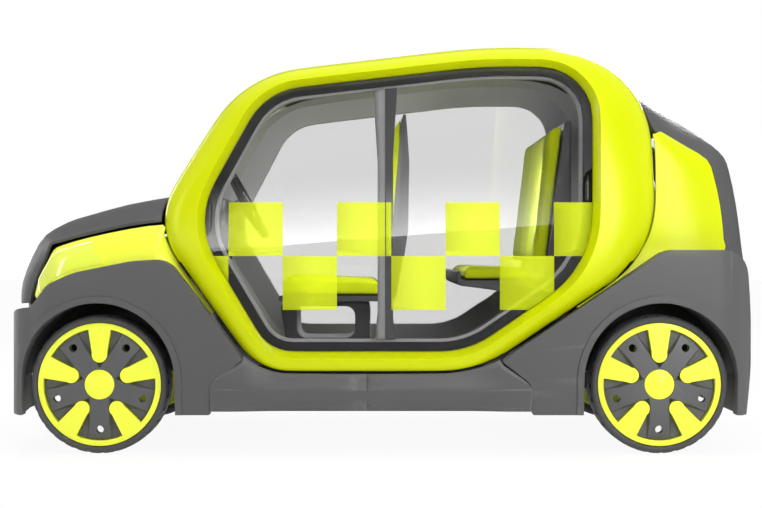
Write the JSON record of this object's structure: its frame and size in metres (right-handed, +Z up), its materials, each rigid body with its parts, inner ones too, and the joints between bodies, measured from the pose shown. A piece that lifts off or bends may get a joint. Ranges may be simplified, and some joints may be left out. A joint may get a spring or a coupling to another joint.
{
  "type": "electric taxi",
  "caption": "Small electric city taxi with a dark bonnet, roof and tailgate between yellow side loops, chequered glass sides, a middle driver's seat and a rear bench.",
  "frame": {"origin": "on the ground under the middle of the wheelbase, which is the middle of the overall box", "axes": "+X forward, +Y to the left side, +Z up"},
  "size_m": [2.884, 1.6492, 1.5991],
  "materials": {
    "yellow_paint": "gloss lime yellow",
    "dark_paint": "satin dark grey",
    "dark_plastic": "grained dark grey",
    "black_plastic": "black",
    "black_steel": "black coated",
    "chassis_steel": "dark coated steel",
    "casting": "cast",
    "tyre": "black rubber",
    "seat_fabric": "lime yellow cloth",
    "seat_shell": "dark moulded",
    "clear_glass": "clear",
    "lamp_clear": "clear lens",
    "lamp_red": "red lens"
  },
  "bodies": {
    "body": {"floor_pan": "black_steel", "front_tub": "black_steel", "bulkhead": "black_steel", "rear_tub": "black_steel", "battery_pack": "casting", "drive_motor": "casting", "front_axle": "chassis_steel", "rear_axle": "chassis_steel", "front_bumper": "dark_plastic", "rear_bumper": "dark_plastic", "front_fenders": "dark_plastic", "rear_fenders": "dark_plastic", "sills": "dark_plastic", "arch_liners": "black_plastic", "front_side_panels": "yellow_paint", "headlamps": "lamp_clear", "windscreen": "clear_glass", "roof": "dark_paint", "door_loop_left": "yellow_paint", "door_loop_right": "yellow_paint", "side_frame_left": "dark_plastic", "side_frame_right": "dark_plastic", "door_frames": "dark_plastic", "door_glass": "clear_glass", "centre_posts": "dark_plastic", "quarter_panels": "yellow_paint", "tail_lamps": "lamp_red", "dashboard": "black_plastic", "steering_column": "black_plastic", "driver_seat_base": "black_plastic", "driver_seat_shell": "seat_shell", "driver_seat_pads": "seat_fabric", "bench_shell": "seat_shell", "bench_pads": "seat_fabric"},
    "bonnet": {"bonnet": "dark_paint"},
    "tailgate": {"tailgate": "dark_paint", "tailgate_glass": "clear_glass"},
    "steering_wheel": {"steering_wheel": "black_plastic"},
    "knuckle_left": {"knuckle_left": "chassis_steel"},
    "knuckle_right": {"knuckle_right": "chassis_steel"},
    "wheel_fl": {"tyre_fl": "tyre", "wheel_fl": "yellow_paint", "cover_fl": "dark_plastic"},
    "wheel_fr": {"tyre_fr": "tyre", "wheel_fr": "yellow_paint", "cover_fr": "dark_plastic"},
    "wheel_rl": {"tyre_rl": "tyre", "wheel_rl": "yellow_paint", "cover_rl": "dark_plastic"},
    "wheel_rr": {"tyre_rr": "tyre", "wheel_rr": "yellow_paint", "cover_rr": "dark_plastic"}
  },
  "joints": [
    {"name": "bonnet_hinge", "type": "hinge", "parent": "body", "child": "bonnet", "pos_m": [1.421, 0, 0.555], "axis": [0, 1, 0], "range_deg": [0, 60]},
    {"name": "tailgate_hinge", "type": "hinge", "parent": "body", "child": "tailgate", "pos_m": [-0.9885, 0, 1.441], "axis": [0, 1, 0], "range_deg": [0, 75]},
    {"name": "steering_turn", "type": "hinge", "parent": "body", "child": "steering_wheel", "pos_m": [0.575, 0, 0.99], "axis": [-0.8796, 0, 0.4756], "range_deg": [-560, 560]},
    {"name": "steer_left", "type": "hinge", "parent": "body", "child": "knuckle_left", "pos_m": [1.07, 0.65, 0.265], "axis": [0, 0, 1], "range_deg": [-35, 35]},
    {"name": "steer_right", "type": "hinge", "parent": "body", "child": "knuckle_right", "pos_m": [1.07, -0.65, 0.265], "axis": [0, 0, 1], "range_deg": [-35, 35]},
    {"name": "spin_fl", "type": "hinge", "parent": "knuckle_left", "child": "wheel_fl", "pos_m": [1.07, 0.687, 0.265], "axis": [0, 1, 0], "continuous": true},
    {"name": "spin_fr", "type": "hinge", "parent": "knuckle_right", "child": "wheel_fr", "pos_m": [1.07, -0.687, 0.265], "axis": [0, 1, 0], "continuous": true},
    {"name": "spin_rl", "type": "hinge", "parent": "body", "child": "wheel_rl", "pos_m": [-1.07, 0.687, 0.265], "axis": [0, 1, 0], "continuous": true},
    {"name": "spin_rr", "type": "hinge", "parent": "body", "child": "wheel_rr", "pos_m": [-1.07, -0.687, 0.265], "axis": [0, 1, 0], "continuous": true}
  ],
  "couplings": [
    {"joint": "steer_left", "follows": "steering_turn", "ratio": 0.0625},
    {"joint": "steer_right", "follows": "steering_turn", "ratio": 0.0625}
  ]
}
